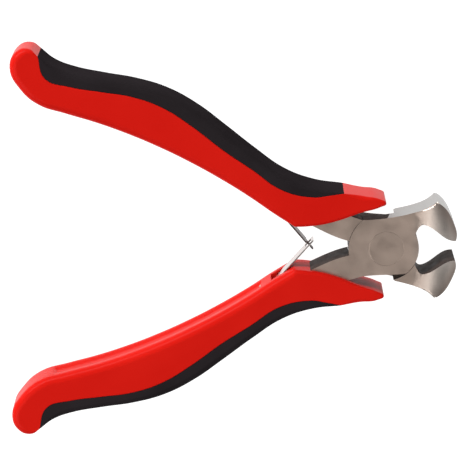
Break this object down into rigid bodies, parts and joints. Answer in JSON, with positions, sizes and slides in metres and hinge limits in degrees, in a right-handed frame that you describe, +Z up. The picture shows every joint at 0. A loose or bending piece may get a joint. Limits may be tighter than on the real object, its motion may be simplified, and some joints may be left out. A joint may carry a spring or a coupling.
{
  "type": "end cutting nipper",
  "caption": "Small hand nipper with wide end cutting blades, a flush riveted lap joint, hooked leaf return springs and two-colour sleeved handles.",
  "frame": {"origin": "middle of the bounding box at rest, on the plane that the handles lie on", "axes": "+X along the tool to the jaws, +Y to the upper handle, +Z up along the pivot axis, with the tool lying flat"},
  "size_m": [0.109, 0.0974, 0.012],
  "materials": {
    "satin_steel": "bead blasted satin, warm grey, blades ground brighter",
    "rivet_steel": "ground flush with the joint",
    "red_grip": "glossy red moulded sleeve",
    "black_inlay": "satin black soft-touch inlay",
    "spring_steel": "bright rolled spring strip"
  },
  "bodies": {
    "front": {"front_half": "satin_steel", "pivot_rivet": "rivet_steel", "lower_grip": "red_grip", "lower_inlay": "black_inlay", "lower_spring_rivet": "rivet_steel"},
    "rear": {"rear_half": "satin_steel", "upper_grip": "red_grip", "upper_inlay": "black_inlay", "upper_spring_rivet": "rivet_steel"},
    "lower_leaf": {"lower_leaf_spring": "spring_steel"},
    "upper_leaf": {"upper_leaf_spring": "spring_steel"}
  },
  "joints": [
    {"name": "pivot", "type": "hinge", "parent": "front", "child": "rear", "pos_m": [0.03746, 0, 0.006], "axis": [0, 0, 1], "range_deg": [0, 16.4], "stiffness_Nm_per_rad": 1, "springref_deg": -2.86},
    {"name": "lower_leaf_flex", "type": "hinge", "parent": "front", "child": "lower_leaf", "pos_m": [0.01379, -0.00543, 0.006], "axis": [0, 0, 1], "range_deg": [-24.64, 0], "deforming": ["lower_leaf_spring"]},
    {"name": "upper_leaf_flex", "type": "hinge", "parent": "rear", "child": "upper_leaf", "pos_m": [0.01379, 0.00543, 0.006], "axis": [0, 0, 1], "range_deg": [0, 24.64], "deforming": ["upper_leaf_spring"]}
  ],
  "couplings": [
    {"joint": "lower_leaf_flex", "follows": "pivot", "ratio": -1.5024},
    {"joint": "upper_leaf_flex", "follows": "pivot", "ratio": 1.5024}
  ]
}
